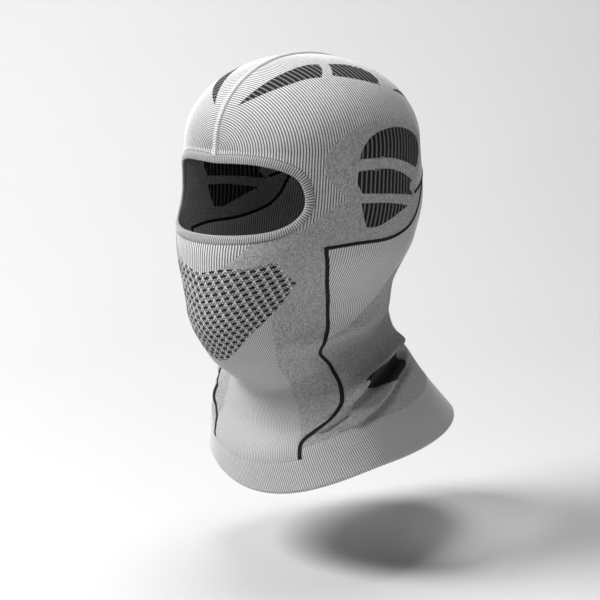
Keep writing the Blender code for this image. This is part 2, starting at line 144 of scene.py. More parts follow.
SIDE_VENTS = {
    "side_vent_upper": ([(74, 0.769), (76, 0.786), (81, 0.801), (89, 0.810), (98, 0.812), (107, 0.807),
                         (116, 0.795), (121, 0.780), (121, 0.765), (116, 0.748)],
                        [(116, 0.748), (104, 0.759), (93, 0.767), (84, 0.769), (74, 0.769)]),
    "side_vent_middle": ([(74, 0.754), (85, 0.755), (93, 0.753), (101, 0.746), (110, 0.734)],
                         [(110, 0.734), (108, 0.723), (112, 0.710)],
                         [(112, 0.710), (95, 0.719), (77, 0.725)],
                         [(77, 0.725), (74, 0.739), (74, 0.754)]),
    "side_vent_lower": ([(77, 0.711), (92, 0.706), (107, 0.694)],
                        [(107, 0.694), (99, 0.681), (92, 0.667), (87, 0.658), (81, 0.660)],
                        [(81, 0.660), (79, 0.684), (77, 0.711)]),
}
CROWN_VENTS = {
    "crown_vent_front": ([(28, 0.961), (40, 0.956), (52, 0.953), (63, 0.951), (74, 0.949), (80, 0.943)],
                         [(80, 0.943), (77, 0.928), (72, 0.913)],
                         [(72, 0.913), (65, 0.919), (55, 0.923), (46, 0.930), (37, 0.941), (28, 0.961)]),
    "crown_vent_rear": ([(84.5, 0.939), (92, 0.935), (100, 0.925)],
                        [(100, 0.925), (104, 0.906), (100.5, 0.883)],
                        [(100.5, 0.883), (89, 0.897), (78, 0.911)],
                        [(78, 0.911), (82, 0.926), (84.5, 0.939)]),
    "crown_vent_back": ([(108, 0.877), (118, 0.882), (130, 0.877), (142, 0.862)],
                        [(142, 0.862), (143, 0.850), (140, 0.838)],
                        [(140, 0.838), (132, 0.855), (122, 0.869), (108, 0.877)]),
}
NECK_INSET = ([(80, 0.249), (90, 0.262), (101, 0.273), (115, 0.282), (133, 0.284)],
              [(133, 0.284), (128, 0.262), (118, 0.240), (109, 0.222)],
              [(109, 0.222), (100, 0.227), (90, 0.236), (80, 0.249)])
HEM_TOP, HEM_LINE = 0.113, 0.083
CROWN_LOW = 0.66

# Folds of the loose neck, mirrored left and right: the line of the lip, its height, and the widths
# of its slope above and below the line, with the depth of the hollow under it.
FOLDS = (
    ([(150, 0.266), (138, 0.276), (120, 0.286), (104, 0.276), (86, 0.250), (72, 0.224), (60, 0.204)],
     7.5, 9.0, 3.8, 7.5),
    ([(142, 0.235), (125, 0.243), (108, 0.232), (99, 0.205), (87, 0.160), (76, 0.138), (66, 0.126)],
     4.6, 8.0, 3.4, 5.5),
    ([(66, 0.196), (54, 0.172), (42, 0.154)], 2.4, 7.0, 3.0, 2.0),
)
# The hollow under the jaw and behind it, and the swell of the jaw's edge above it: the middle line,
# the height and the half width.
JAW = (
    ([(52, 0.350), (75, 0.352), (100, 0.362), (128, 0.372), (150, 0.380)], -10.0, 14.0),
    ([(40, 0.420), (62, 0.418), (84, 0.424), (108, 0.440)], 5.0, 13.0),
)


# ---------------------------------------------------------------- the shell

def through(knots, values, at):
    """A smooth curve through a table that never overshoots its values."""
    knots, values, at = np.asarray(knots), np.asarray(values, float), np.asarray(at, float)
    step = np.diff(knots)
    grade = np.diff(values) / step
    slope = np.zeros(len(knots))
    slope[0], slope[-1] = grade[0], grade[-1]
    same_way = grade[:-1] * grade[1:] > 0
    slope[1:-1][same_way] = 2 / (1 / grade[:-1][same_way] + 1 / grade[1:][same_way])
    i = np.clip(np.searchsorted(knots, at) - 1, 0, len(step) - 1)
    t = (at - knots[i]) / step[i]
    ends = values[i] * (1 + 2 * t) * (1 - t) ** 2 + values[i + 1] * (3 - 2 * t) * t ** 2
    return ends + step[i] * t * (1 - t) * (slope[i] * (1 - t) - slope[i + 1] * t)


def shell(around, rise):
    """Points of the outer face of the cloth, in millimetres."""
    around, rise = np.broadcast_arrays(np.radians(np.asarray(around, float)), np.asarray(rise, float))
    table = np.array(SECTIONS)
    ring = np.clip(rise, 0, BROW_RISE)
    front_z, side_z, back_z, front, back, wide, n_front, n_back = (
        through(table[:, 0], table[:, k], ring) for k in range(1, 9))
    ahead = np.cos(around)
    across = np.sin(around)
    facing = ahead > 0
    power = 2 / np.where(facing, n_front, n_back)
    x = wide * np.sign(across) * np.abs(across) ** power
    y = np.where(facing, -front, back) * np.abs(ahead) ** power
    z = side_z + (np.where(facing, front_z, back_z) - side_z) * ahead ** 2
    # Above the brow each vertical row of knitting runs square to the seam, at a constant y.
    reach = np.where(y < CROWN_MIDDLE, front + CROWN_MIDDLE, back - CROWN_MIDDLE)
    along = np.clip(np.abs(y - CROWN_MIDDLE) / reach, 0, 1)
    seam_z = z * (1 - (1 - along ** DOME_ROUNDNESS) ** (1 / DOME_ROUNDNESS))
    turn = np.clip((1 - rise) / (1 - BROW_RISE), 0, 1) * math.pi / 2
    dome = rise > BROW_RISE
    x = np.where(dome, x * np.sin(turn), x)
    z = np.where(dome, z + (seam_z - z) * np.cos(turn), z)
    return np.stack([x, y, z + CLOTH], -1)


def outward(around, rise):
    """Unit normals of the shell; where the rows meet at its front and back it faces along Y."""
    around, rise = np.asarray(around, float), np.asarray(rise, float)
    low, high = np.clip(rise - 0.002, 0, 1), np.clip(rise + 0.002, 0, 1)
    sideways = shell(around + 0.3, rise) - shell(around - 0.3, rise)
    upward = shell(around, high) - shell(around, low)
    normal = np.cross(sideways, upward)
    size = np.linalg.norm(normal, axis=-1, keepdims=True)
    fallback = np.stack([0 * around, np.where(np.cos(np.radians(around)) > 0, -1.0, 1.0), 0 * around], -1)
    return np.where(size > 1e-3, normal / np.maximum(size, 1e-9), fallback)


def stretch(around, rise):
    """Millimetres of cloth per degree around, and per unit of rise."""
    sideways = shell(around + 0.5, rise) - shell(around - 0.5, rise)
    upward = shell(around, np.minimum(rise + 0.005, 1)) - shell(around, np.minimum(rise + 0.005, 1) - 0.01)
    return (np.maximum(np.linalg.norm(sideways, axis=-1), 0.25),
            np.maximum(np.linalg.norm(upward, axis=-1) / 0.01, 150.0))


# ---------------------------------------------------------------- outlines

FLAT = np.array([1.35, RISE_MM])     # the flat drawing's millimetres per degree, and per unit of rise


def smooth_run(points):
    """A Catmull-Rom curve through the points, cut into steps of EDGE_STEP on the flat drawing."""
    p = np.array(points, float)
    p = np.vstack([2 * p[0] - p[1], p, 2 * p[-1] - p[-2]])
    out = []
    for a, b, c, d in zip(p, p[1:], p[2:], p[3:]):
        count = max(1, round(np.linalg.norm((c - b) * FLAT) / EDGE_STEP))
        for k in range(count):
            t = k / count
            out.append(0.5 * (2 * b + (c - a) * t + (2 * a - 5 * b + 4 * c - d) * t ** 2
                              + (3 * b - a - 3 * c + d) * t ** 3))
    return np.array(out + [p[-2]])


def outline(runs):
    return np.vstack([smooth_run(run)[:-1] for run in runs])


def moved_sideways(path, distance):
    """The path shifted square to itself by a distance on the cloth, to its left."""
    scale = np.stack(stretch(path[:, 0], path[:, 1]), -1)
    ahead = np.gradient(path, axis=0) * scale
    ahead /= np.linalg.norm(ahead, axis=1, keepdims=True)
    return path + np.stack([-ahead[:, 1], ahead[:, 0]], -1) * distance / scale


def strip(points, width):
    """Outline of a strip of even width along a smooth path."""
    path = smooth_run(points)
    return np.vstack([moved_sideways(path, width / 2), moved_sideways(path, -width / 2)[::-1]])


def rectangle(left, right, bottom, top):
    return np.array([(left, bottom), (right, bottom), (right, top), (left, top)], float)


def painted_zones():
    """Every knit zone's outline in the order they are painted; a later zone covers an earlier one."""
    opening = outline(EYE_OPENING)
    zones = [
        ("crown", rectangle(-12, 192, CROWN_LOW, 1.02)),
        ("neck_back_panel", outline(NECK_BACK_PANEL)),
        ("nape_panel", outline(NAPE_PANEL)),
        ("side_panel", outline(SIDE_PANEL)),
        ("hem_rib", rectangle(20, 192, HEM_LINE - 0.001, HEM_TOP)),
        ("throat_panel", outline(THROAT_PANEL)),
        ("nose_panel", outline(NOSE_PANEL)),
        ("mouth_mesh", outline(MOUTH_MESH)),
    ]
    zones += [(name, outline(runs)) for name, runs in SIDE_VENTS.items()]
    zones += [(name, outline(runs)) for name, runs in CROWN_VENTS.items()]
    zones += [
        ("neck_inset", outline(NECK_INSET)),
        ("neck_piping", strip([(62, 0.6242)] + NECK_PIPING[1:-1] + [(33.4, 0.07)], NECK_PIPING_WIDTH)),
        ("hem_band", rectangle(-12, 192, -0.01, HEM_LINE)),
        ("", moved_sideways(opening, BAND_WIDTH)),
    ]
    return zones


def inside(points, polygon):
    """Which points lie inside a closed polygon."""
    low, high = polygon.min(axis=0), polygon.max(axis=0)
    near = np.flatnonzero(((points > low) & (points < high)).all(axis=1))
    x, y = points[near, 0], points[near, 1]
    hit = np.zeros(len(near), bool)
    for (x0, y0), (x1, y1) in zip(polygon, np.roll(polygon, -1, axis=0)):
        if y0 != y1:
            hit ^= ((y0 > y) != (y1 > y)) & (x < x0 + (y - y0) * (x1 - x0) / (y1 - y0))
    out = np.zeros(len(points), bool)
    out[near] = hit
    return out


# ---------------------------------------------------------------- the knitted grid of the left half

def turn_table():
    """How far round its ring each degree lies, as a share of half the ring; one row for each height."""
    around, rise = np.linspace(0, 180, 361), np.linspace(0, BROW_RISE, 79)
    rings = shell(around[None, :], rise[:, None])
    far = np.cumsum(np.linalg.norm(np.diff(rings, axis=1), axis=2), axis=1)
    far = np.hstack([np.zeros((len(rise), 1)), far])
    return around, rise, far / far[:, -1:], far[:, -1]


TURN_AROUND, TURN_RISE, TURN_SHARE, HALF_RING = turn_table()


def turn_share(around, rise):
    """The share of the half ring from the middle of the face; the ribs lie evenly along it."""
    at = np.clip(np.asarray(around, float), -12, 192)
    folded = np.abs(at)
    folded = np.where(folded > 180, 360 - folded, folded)
    column = folded / (TURN_AROUND[1] - TURN_AROUND[0])
    row = np.clip(rise, 0, BROW_RISE) / (TURN_RISE[1] - TURN_RISE[0])
    i = np.minimum(column.astype(int), len(TURN_AROUND) - 2)
    j = np.minimum(row.astype(int), len(TURN_RISE) - 2)
    u, v = column - i, row - j
    low = TURN_SHARE[j, i] * (1 - u) + TURN_SHARE[j, i + 1] * u
    high = TURN_SHARE[j + 1, i] * (1 - u) + TURN_SHARE[j + 1, i + 1] * u
    share = low * (1 - v) + high * v
    return np.where(at < 0, -share, np.where(at > 180, 2 - share, share))


def grid():
    """Corners of the grid, evenly along each ring from the middle of the face to the nape."""
    columns = RIBS * COLUMNS_PER_RIB // 2
    share = np.linspace(0, 1, columns + 1)
    low = np.linspace(0, BROW_RISE, ROWS_BELOW_BROW + 1)
    dome = np.linspace(BROW_RISE, 1, ROWS_ON_DOME + 1)[1:]
    rise = np.concatenate([low, dome])
    corners = np.empty((columns + 1, len(rise), 2))
    for j, height in enumerate(rise):
        ring = turn_share(TURN_AROUND, np.full(len(TURN_AROUND), height))
        corners[:, j, 0] = np.interp(share, ring, TURN_AROUND)
        corners[:, j, 1] = height
    return corners, rise


def snapped(corners, rise, zones):
    """The grid's corners, with those nearest to an outline moved onto it."""
    best = np.full(corners.shape[:2], 0.5)
    for _, shape in zones:
        for a, b in zip(shape, np.roll(shape, -1, axis=0)):
            count = max(2, int(np.linalg.norm((b - a) * FLAT) / 0.2))
            line = a + (b - a) * np.arange(count)[:, None] / count
            line = line[(line[:, 0] > 0) & (line[:, 0] < 180) & (line[:, 1] > 0) & (line[:, 1] < 1)]
            if not len(line):
                continue
            x = turn_share(line[:, 0], line[:, 1]) * (len(corners) - 1)
            y = np.interp(line[:, 1], rise, np.arange(len(rise)))
            i, j = np.round(x).astype(int), np.round(y).astype(int)
            far = np.hypot(x - i, y - j)
            order = np.argsort(-far)
            i, j, far, line = i[order], j[order], far[order], line[order]
            closer = far < best[i, j]
            best[i[closer], j[closer]] = far[closer]
            corners[i[closer], j[closer]] = line[closer]
    corners[0, :, 0], corners[-1, :, 0] = 0, 180
    return corners, best < 0.5


def paint(points, zones):
    names = np.full(len(points), "", dtype=object)
    for name, shape in zones:
        names[inside(points, shape)] = name
    return names


def cells(corners, on_line, zones):
    """Triangles of corner numbers, cut along the outlines, with the zone that owns each."""
    wide, high = corners.shape[:2]
    number = np.arange(wide * high).reshape(wide, high)
    a, b = number[:-1, :-1].ravel(), number[1:, :-1].ravel()
    c, d = number[1:, 1:].ravel(), number[:-1, 1:].ravel()
    flat, marked = corners.reshape(-1, 2), on_line.ravel()
    other = marked[b] & marked[d] & ~(marked[a] & marked[c])
    first = np.where(other[:, None], np.stack([a, b, d], 1), np.stack([a, b, c], 1))
    second = np.where(other[:, None], np.stack([b, c, d], 1), np.stack([a, c, d], 1))
    triangles = np.vstack([first, second])
    return flat, triangles, paint(flat[triangles].mean(axis=1), zones)


# ---------------------------------------------------------------- relief of the cloth

def signed_distance(points, line):
    """Millimetres on the flat drawing from a smooth line, positive above it, and how far along it."""
    path = smooth_run(line) * FLAT
    p = points * FLAT
    best, side, along = np.full(len(p), 1e9), np.zeros(len(p)), np.zeros(len(p))
    for k, (a, b) in enumerate(zip(path, path[1:])):
        way = b - a
        t = np.clip((p - a) @ way / (way @ way), 0, 1)
        gap = p - a - t[:, None] * way
        far = np.linalg.norm(gap, axis=1)
        closer = far < best
        best = np.where(closer, far, best)
        side = np.where(closer, np.sign(gap[:, 1] + 1e-9), side)
        along = np.where(closer, (k + t) / (len(path) - 1), along)
    return best * side, along


def folds(points):
    """Height of the neck's folds, and of the hollow under the jaw."""
    height = np.zeros(len(points))
    near = np.flatnonzero((points[:, 1] < 0.42) & (points[:, 0] > 20))
    for line, lip, above, below, hollow in FOLDS:
        far, along = signed_distance(points[near], line)
        fade = np.clip(np.sin(np.pi * np.clip(along, 0.02, 0.98)) * 1.6, 0, 1)
        width = np.where(far > 0, above, below)
        under = (far + 2.2 * below) / (1.4 * below)
        shape = lip * np.exp(-(far / width) ** 2) - hollow * np.exp(-under ** 2)
        height[near] += shape * fade
    near = np.flatnonzero((points[:, 1] > 0.22) & (points[:, 1] < 0.56) & (points[:, 0] > 10))
    for line, high, width in JAW:
        far, along = signed_distance(points[near], line)
        fade = np.clip(np.sin(np.pi * np.clip(along, 0.02, 0.98)) * 1.4, 0, 1)
        height[near] += high * fade * np.exp(-(far / width) ** 2)
    return height


def ribbing(points, ribs, depth):
    """Rounded ribs that run up the hood; they fade where the rows crowd together at the brow's middle."""
    crowd = np.clip(stretch(points[:, 0], points[:, 1])[0] * 360 / ribs / 1.2, 0, 1)
    return depth * crowd * np.cos(math.pi * ribs * turn_share(points[:, 0], points[:, 1]))


def eyelets(points):
    """Dimples at the mesh's dark ovals, each row of them shifted along."""
    turn = turn_share(points[:, 0], points[:, 1]) / 2
    row = (points[:, 1] - MESH_TILT * turn) * RISE_MM / MESH_ROW + 100
    column = turn * MESH_COLUMNS + MESH_SHIFT * np.floor(row)
    x, y = column - np.floor(column) - 0.5, row - np.floor(row) - 0.5
    return -0.6 * np.exp(-(x / 0.30) ** 2 - (y / 0.32) ** 2)


# ---------------------------------------------------------------- materials

class Graph:
    """A small helper that writes a material's nodes."""

    def __init__(self, name):
        self.material = bpy.data.materials.new(name)
        self.material.use_nodes = True
        self.nodes = self.material.node_tree.nodes
        self.links = self.material.node_tree.links
        self.shader = self.nodes["Principled BSDF"]

    def put(self, socket, value):
        if isinstance(value, bpy.types.NodeSocket):
            self.links.new(value, socket)
        else:
            socket.default_value = value

    def math(self, what, a, b=0.0, c=0.0):
        node = self.nodes.new("ShaderNodeMath")
        node.operation = what
        for socket, value in zip(node.inputs, (a, b, c)):
            self.put(socket, value)
        return node.outputs[0]

    def remap(self, value, low, high, to_low=0.0, to_high=1.0):
        node = self.nodes.new("ShaderNodeMapRange")
        node.interpolation_type = "SMOOTHSTEP"
        for key, number in (("From Min", low), ("From Max", high), ("To Min", to_low), ("To Max", to_high)):
            node.inputs[key].default_value = number
        self.links.new(value, node.inputs["Value"])
        return node.outputs[0]

    def mix(self, share, a, b):
        node = self.nodes.new("ShaderNodeMix")
        node.data_type = "RGBA"
        self.put(node.inputs[0], share)
        self.put(node.inputs[6], a)
        self.put(node.inputs[7], b)
        return node.outputs[2]

    def place(self):
        """The cloth's own coordinates: turns round the hood, and rise."""
        uv = self.nodes.new("ShaderNodeUVMap")
        uv.uv_map = "cloth"
        split = self.nodes.new("ShaderNodeSeparateXYZ")
        self.links.new(uv.outputs[0], split.inputs[0])
        return split.outputs[0], split.outputs[1]

    def white(self, x, y):
        join = self.nodes.new("ShaderNodeCombineXYZ")
        self.put(join.inputs[0], x)
        self.put(join.inputs[1], y)
        noise = self.nodes.new("ShaderNodeTexWhiteNoise")
        noise.noise_dimensions = "2D"
        self.links.new(join.outputs[0], noise.inputs["Vector"])
        return noise.outputs["Value"]

    def noise(self, scale, detail=3.0):
        where = self.nodes.new("ShaderNodeTexCoord")
        noise = self.nodes.new("ShaderNodeTexNoise")
        noise.inputs["Scale"].default_value = scale
        noise.inputs["Detail"].default_value = detail
        self.links.new(where.outputs["Object"], noise.inputs["Vector"])
        return noise.outputs["Fac"]

    def finish(self, colour, height, depth, roughness=0.92, sheen=0.08):
        bump = self.nodes.new("ShaderNodeBump")
        bump.inputs["Strength"].default_value = 0.8
        bump.inputs["Distance"].default_value = depth * MM
        self.links.new(height, bump.inputs["Height"])
        self.links.new(bump.outputs[0], self.shader.inputs["Normal"])
        self.put(self.shader.inputs["Base Color"], colour)
        self.shader.inputs["Roughness"].default_value = roughness
        self.shader.inputs["Sheen Weight"].default_value = sheen
        self.shader.inputs["Sheen Roughness"].default_value = 0.6
        self.shader.inputs["Specular IOR Level"].default_value = 0.2
        return self.material


def stitches(graph, wales):
    """The V of each stitch: its relief, and a number for each stitch."""
    turn, rise = graph.place()
    column = graph.math("MULTIPLY", turn, float(wales))
    inside_column = graph.math("FRACT", graph.math("ADD", column, 1000.0))
    leg = graph.math("ABSOLUTE", graph.math("SUBTRACT", inside_column, 0.5))
    row = graph.math("MULTIPLY_ADD", rise, RISE_MM / COURSE, leg)
    inside_row = graph.math("FRACT", graph.math("ADD", row, 1000.0))
    across = graph.math("SINE", graph.math("MULTIPLY", inside_row, math.pi))
    between = graph.math("SINE", graph.math("MULTIPLY", inside_column, math.pi))
    relief = graph.math("MULTIPLY", across, graph.math("POWER", between, 0.5))
    number = graph.white(graph.math("FLOOR", column), graph.math("FLOOR", row))
    return relief, number


def shade_of(value):
    return (value, value, value * 1.01, 1)


def ribbed(name, shaded_valley, lit_crest, ribs, narrow=0.0, melange=0.1, roughness=0.92):
    """Ribbed knit: the valley grey level is painted shade in each rib's valley and the crest level is the
    lit crest, so on the black knits the grey crest lines are a painted highlight; narrow moves the edge
    between them.
    """
    graph = Graph(name)
    turn, _ = graph.place()
    wave = graph.math("COSINE", graph.math("MULTIPLY", turn, 2 * math.pi * ribs))
    relief, number = stitches(graph, ribs)
    # painted shade: the colour darkens from the crest into each rib's valley
    share = graph.remap(wave, narrow - 0.9, narrow + 0.9)
    share = graph.math("ADD", share, graph.math("MULTIPLY_ADD", number, melange, -melange / 2))
    # painted shade: darker where the stitch relief is low, between the stitches
    share = graph.math("MULTIPLY", share, graph.remap(relief, 0.0, 0.6, 0.82, 1.0))
    cloud = graph.remap(graph.noise(60.0), 0.3, 0.7, 0.94, 1.0)
    share = graph.math("MULTIPLY", share, cloud)
    colour = graph.mix(share, shade_of(shaded_valley), shade_of(lit_crest))
    return graph.finish(colour, relief, 0.35, roughness, 0.08 if lit_crest > 0.3 else 0.0)


def heather(name, dark, light):
    """Grey melange jersey: every stitch its own mix of dark and light yarn, with painted shade between the
    stitches.
    """
    graph = Graph(name)
    relief, number = stitches(graph, 2.5 * RIBS)
    fibre = graph.remap(graph.noise(2600.0, 1.0), 0.35, 0.65)
    share = graph.math("MULTIPLY_ADD", number, 0.42, graph.math("MULTIPLY", fibre, 0.58))
    # painted shade: darker where the stitch relief is low, between the stitches
    share = graph.math("MULTIPLY", share, graph.remap(relief, 0.0, 0.7, 0.8, 1.0))
    colour = graph.mix(share, shade_of(dark), shade_of(light))
    return graph.finish(colour, relief, 0.35)


def open_knit(name):
    """The mouth's mesh: tilted rows of dark ovals, painted shade where its openings are, with pale stitches
    and a dark zigzag between them.
    """
    graph = Graph(name)
    turn, rise = graph.place()
    relief, number = stitches(graph, 1.5 * RIBS)
    tilted = graph.math("MULTIPLY_ADD", graph.math("ABSOLUTE", turn), -MESH_TILT, rise)
    row = graph.math("ADD", graph.math("MULTIPLY", tilted, RISE_MM / MESH_ROW), 100.0)
    line = graph.math("FLOOR", row)
    column = graph.math("MULTIPLY", turn, float(MESH_COLUMNS))
    column = graph.math("ADD", graph.math("MULTIPLY_ADD", line, MESH_SHIFT, column), 1000.0)
    x = graph.math("ABSOLUTE", graph.math("SUBTRACT", graph.math("FRACT", column), 0.5))
    y = graph.math("ABSOLUTE", graph.math("SUBTRACT", graph.math("FRACT", row), 0.5))
    oval = graph.math("ADD", graph.math("POWER", graph.math("DIVIDE", x, 0.38), 2.0),
                      graph.math("POWER", graph.math("DIVIDE", y, 0.31), 2.0))
    # painted shade: near-black ovals where the mesh's openings show the shaded inside
    painted_hole_shade = graph.remap(oval, 0.65, 1.2, 1.0, 0.0)
    tooth = graph.math("FRACT", graph.math("MULTIPLY", column, 3.0))
    tooth = graph.math("MULTIPLY_ADD", graph.math("ABSOLUTE", graph.math("SUBTRACT", tooth, 0.5)), 0.8, -0.2)
    between = graph.math("SUBTRACT", graph.math("FRACT", graph.math("ADD", row, 0.5)), 0.5)
    gap = graph.math("ABSOLUTE", graph.math("SUBTRACT", between, tooth))
    zigzag = graph.math("MULTIPLY", graph.remap(gap, 0.07, 0.2, 1.0, 0.0), 0.9)
    dark = graph.math("MAXIMUM", painted_hole_shade, zigzag)
    light = graph.math("MULTIPLY_ADD", number, 0.4, 0.55)
    # painted shade: the pale yarn darkens between the stitches, where their relief is low
    light = graph.math("MULTIPLY", light, graph.remap(relief, 0.0, 0.6, 0.6, 1.0))
    yarn = graph.mix(light, shade_of(0.16), shade_of(0.80))
    # near black: the painted shade at the openings, and the dark zigzag
    colour = graph.mix(dark, yarn, shade_of(0.014))
    height = graph.math("SUBTRACT", relief, graph.math("MULTIPLY", dark, 1.4))
    return graph.finish(colour, height, 0.5)


def plain_knit(name, level, ribs):
    graph = Graph(name)
    relief, number = stitches(graph, ribs)
    # painted shade: the colour darkens between the stitches, where their relief is low, besides a random
    # tone for each stitch
    share = graph.math("MULTIPLY_ADD", number, 0.3, graph.math("MULTIPLY", relief, 0.7))
    colour = graph.mix(share, shade_of(level * 0.5), shade_of(level * 1.3))
    return graph.finish(colour, relief, 0.4, 0.88, 0.02)


# ---------------------------------------------------------------- meshes

def mesh_object(name, points, faces, uv, look, sharp=60):
    """A mesh in metres with its cloth coordinates, riding on the hood."""
    data = bpy.data.meshes.new(name)
    data.from_pydata([], [], [])
    faces = np.asarray(faces)
    data.vertices.add(len(points))
    data.vertices.foreach_set("co", (np.asarray(points) * MM).astype(np.float32).ravel())
    data.loops.add(faces.size)
    data.loops.foreach_set("vertex_index", faces.astype(np.int32).ravel())
    data.polygons.add(len(faces))
    data.polygons.foreach_set("loop_start", np.arange(0, faces.size, faces.shape[1], dtype=np.int32))
    data.update(calc_edges=True)
    data.validate()
    layer = data.uv_layers.new(name="cloth")
    corner = np.zeros(len(data.loops), np.int32)
    data.loops.foreach_get("vertex_index", corner)
    layer.data.foreach_set("uv", np.asarray(uv, np.float32)[corner].ravel())
    data.materials.append(look)
    data.shade_smooth()
    data.set_sharp_from_angle(angle=math.radians(sharp))
    piece = bpy.data.objects.new(name, data)
    bpy.context.scene.collection.objects.link(piece)
    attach(piece, "root")
    return piece


def cloth_piece(name, flat, triangles, height, look, thick=CLOTH, side=1):
    """A closed piece of cloth over the triangles; side is 1 left, -1 right, 0 for both halves."""
    used, faces = np.unique(triangles, return_inverse=True)
    faces = faces.reshape(-1, 3)
    places = flat[used]
    normals = outward(places[:, 0], places[:, 1])
    points = shell(places[:, 0], places[:, 1])
    top = points + normals * height[used][:, None]
    bottom = points + normals * (height[used] * 0.6 - thick)[:, None]
    uv = np.stack([turn_share(places[:, 0], places[:, 1]) / 2, places[:, 1]], -1)
    middle = (places[:, 0] < 1e-6) | (places[:, 0] > 180 - 1e-6) | (np.abs(points[:, 0]) < 1e-3)
    if side <= 0:
        flip = np.array([-1.0, 1, 1])
        count = len(used)
        number = np.arange(count) + (count if side == 0 else 0)
        if side == 0:
            number[middle] = np.flatnonzero(middle)
            faces = np.vstack([faces, number[faces][:, ::-1]])
            top, bottom = np.vstack([top, top * flip]), np.vstack([bottom, bottom * flip])
            uv = np.vstack([uv, uv * (-1, 1)])
        else:
            faces, top, bottom, uv = faces[:, ::-1], top * flip, bottom * flip, uv * (-1, 1)
    sides = np.vstack([faces[:, [0, 1]], faces[:, [1, 2]], faces[:, [2, 0]]])
    total = len(top)
    key, back = sides[:, 0] * total + sides[:, 1], sides[:, 1] * total + sides[:, 0]
    rim = sides[~np.isin(key, back)]
    a, b = rim[:, 0], rim[:, 1]
    walls = np.vstack([np.stack([b, a, a + total], 1), np.stack([b, a + total, b + total], 1)])
    everything = np.vstack([faces, faces[:, ::-1] + total, walls])
    return mesh_object(name, np.vstack([top, bottom]), everything, np.vstack([uv, uv]), look)


def distance_along(points):
    """How far each point lies along the line through them."""
    return np.concatenate([[0], np.cumsum(np.linalg.norm(np.diff(points, axis=0), axis=1))])


def tube_faces(rows, count, closed):
    """Triangles round a strip of rows with count points each, with caps where it is open."""
    number = np.arange(rows * count).reshape(rows, count)
    here = number if closed else number[:-1]
    ahead = np.roll(number, -1, axis=0) if closed else number[1:]
    corners = (here, np.roll(here, -1, axis=1), np.roll(ahead, -1, axis=1), ahead)
    a, b, c, d = (corner.ravel() for corner in corners)
    faces = [np.stack([a, b, c], 1), np.stack([a, c, d], 1)]
    if not closed:
        first, last, fan = number[0], number[-1], np.arange(1, count - 1)
        faces.append(np.stack([np.full(len(fan), first[0]), first[fan + 1], first[fan]], 1))
        faces.append(np.stack([np.full(len(fan), last[0]), last[fan], last[fan + 1]], 1))
    return np.vstack(faces)


def sweep_of(path, profile, closed, pitch, side=1):
    """A strip along a path of (around, rise); profile(distance) gives (sideways, height) points."""
    scale = np.stack(stretch(path[:, 0], path[:, 1]), -1)
    distance = distance_along(shell(path[:, 0], path[:, 1]))
    if closed:
        ahead = (np.roll(path, -1, axis=0) - np.roll(path, 1, axis=0)) * scale
    else:
        ahead = np.gradient(path, axis=0) * scale
    ahead /= np.linalg.norm(ahead, axis=1, keepdims=True)
    sideways = np.stack([-ahead[:, 1], ahead[:, 0]], -1) / scale
    shape = profile(distance)
    places = path[:, None, :] + sideways[:, None, :] * shape[:, :, :1]
    points = shell(places[..., 0], places[..., 1])
    points = points + outward(places[..., 0], places[..., 1]) * shape[:, :, 1:]
    if side < 0:
        points = points * (-1, 1, 1)
    around, count = len(path), shape.shape[1]
    faces = tube_faces(around, count, closed)
    if side < 0:
        faces = faces[:, ::-1]
    uv = np.stack([np.repeat(distance / pitch, count),
                   np.tile(np.linspace(0, 1, count), around)], -1)
    return points.reshape(-1, 3), faces, uv


def swept(name, sweeps, look):
    """One piece made of one or more swept strips."""
    points, faces, uv, count = [], [], [], 0
    for some_points, some_faces, some_uv in sweeps:
        points.append(some_points)
        faces.append(some_faces + count)
        uv.append(some_uv)
        count += len(some_points)
    return mesh_object(name, np.vstack(points), np.vstack(faces), np.vstack(uv), look, 70)


# ---------------------------------------------------------------- the pieces

# In each ribbed knit below, the first grey level is painted shade in the rib valleys.
LIGHT = ribbed("light_rib_knit", 0.12, 0.72, RIBS, 0.0)
NAPE_LIGHT = ribbed("nape_rib_knit", 0.23, 0.82, RIBS, 0.1)
HEM_LIGHT = ribbed("hem_rib_knit", 0.22, 0.74, FINE_RIBS, 0.0)
THROAT_LIGHT = ribbed("throat_rib_knit", 0.25, 0.64, FINE_RIBS, 0.0)
HEATHER = heather("heather_knit", 0.14, 0.62)
# painted highlight: the grey crest level of the black vent and inset knits stands for light on the rib
# crests
VENT = ribbed("vent_rib_knit", 0.006, 0.30, RIBS / 2, 0.85, 0.04, 0.85)
DARK = ribbed("neck_inset_knit", 0.006, 0.09, RIBS / 2, 0.7, 0.04, 0.85)
MESH = open_knit("mouth_mesh_knit")
PIPING = plain_knit("piping_knit", 0.011, 2 * RIBS)

# zone: material, record slot, height over the shell, rib depth, ribs round, and whether it is one
# piece across the middle
ZONES = {
    "crown": (LIGHT, "light_rib", 0.0, 0.22, RIBS, False),
    "neck_back_panel": (HEATHER, "heather_knit", 0.0, 0.03, RIBS, True),
    "nape_panel": (NAPE_LIGHT, "light_rib", 0.0, 0.16, RIBS, True),
    "side_panel": (HEATHER, "heather_knit", 0.0, 0.03, RIBS, False),
    "hem_rib": (HEM_LIGHT, "light_rib", 0.1, 0.14, FINE_RIBS, True),
    "throat_panel": (THROAT_LIGHT, "light_rib", 0.0, 0.12, FINE_RIBS, True),
    "nose_panel": (LIGHT, "light_rib", 0.0, 0.22, RIBS, True),
    "mouth_mesh": (MESH, "mesh_knit", 0.1, 0.08, RIBS, True),
    **{name: (VENT, "vent_rib", -0.1, 0.25, RIBS / 2, False) for name in (*SIDE_VENTS, *CROWN_VENTS)},
    "neck_inset": (DARK, "vent_rib", -0.1, 0.12, RIBS / 2, False),
    "neck_piping": (PIPING, "piping", 0.35, 0.03, RIBS, False),
    "hem_band": (HEM_LIGHT, "band_rib", 0.15, 0.16, FINE_RIBS, True),
}


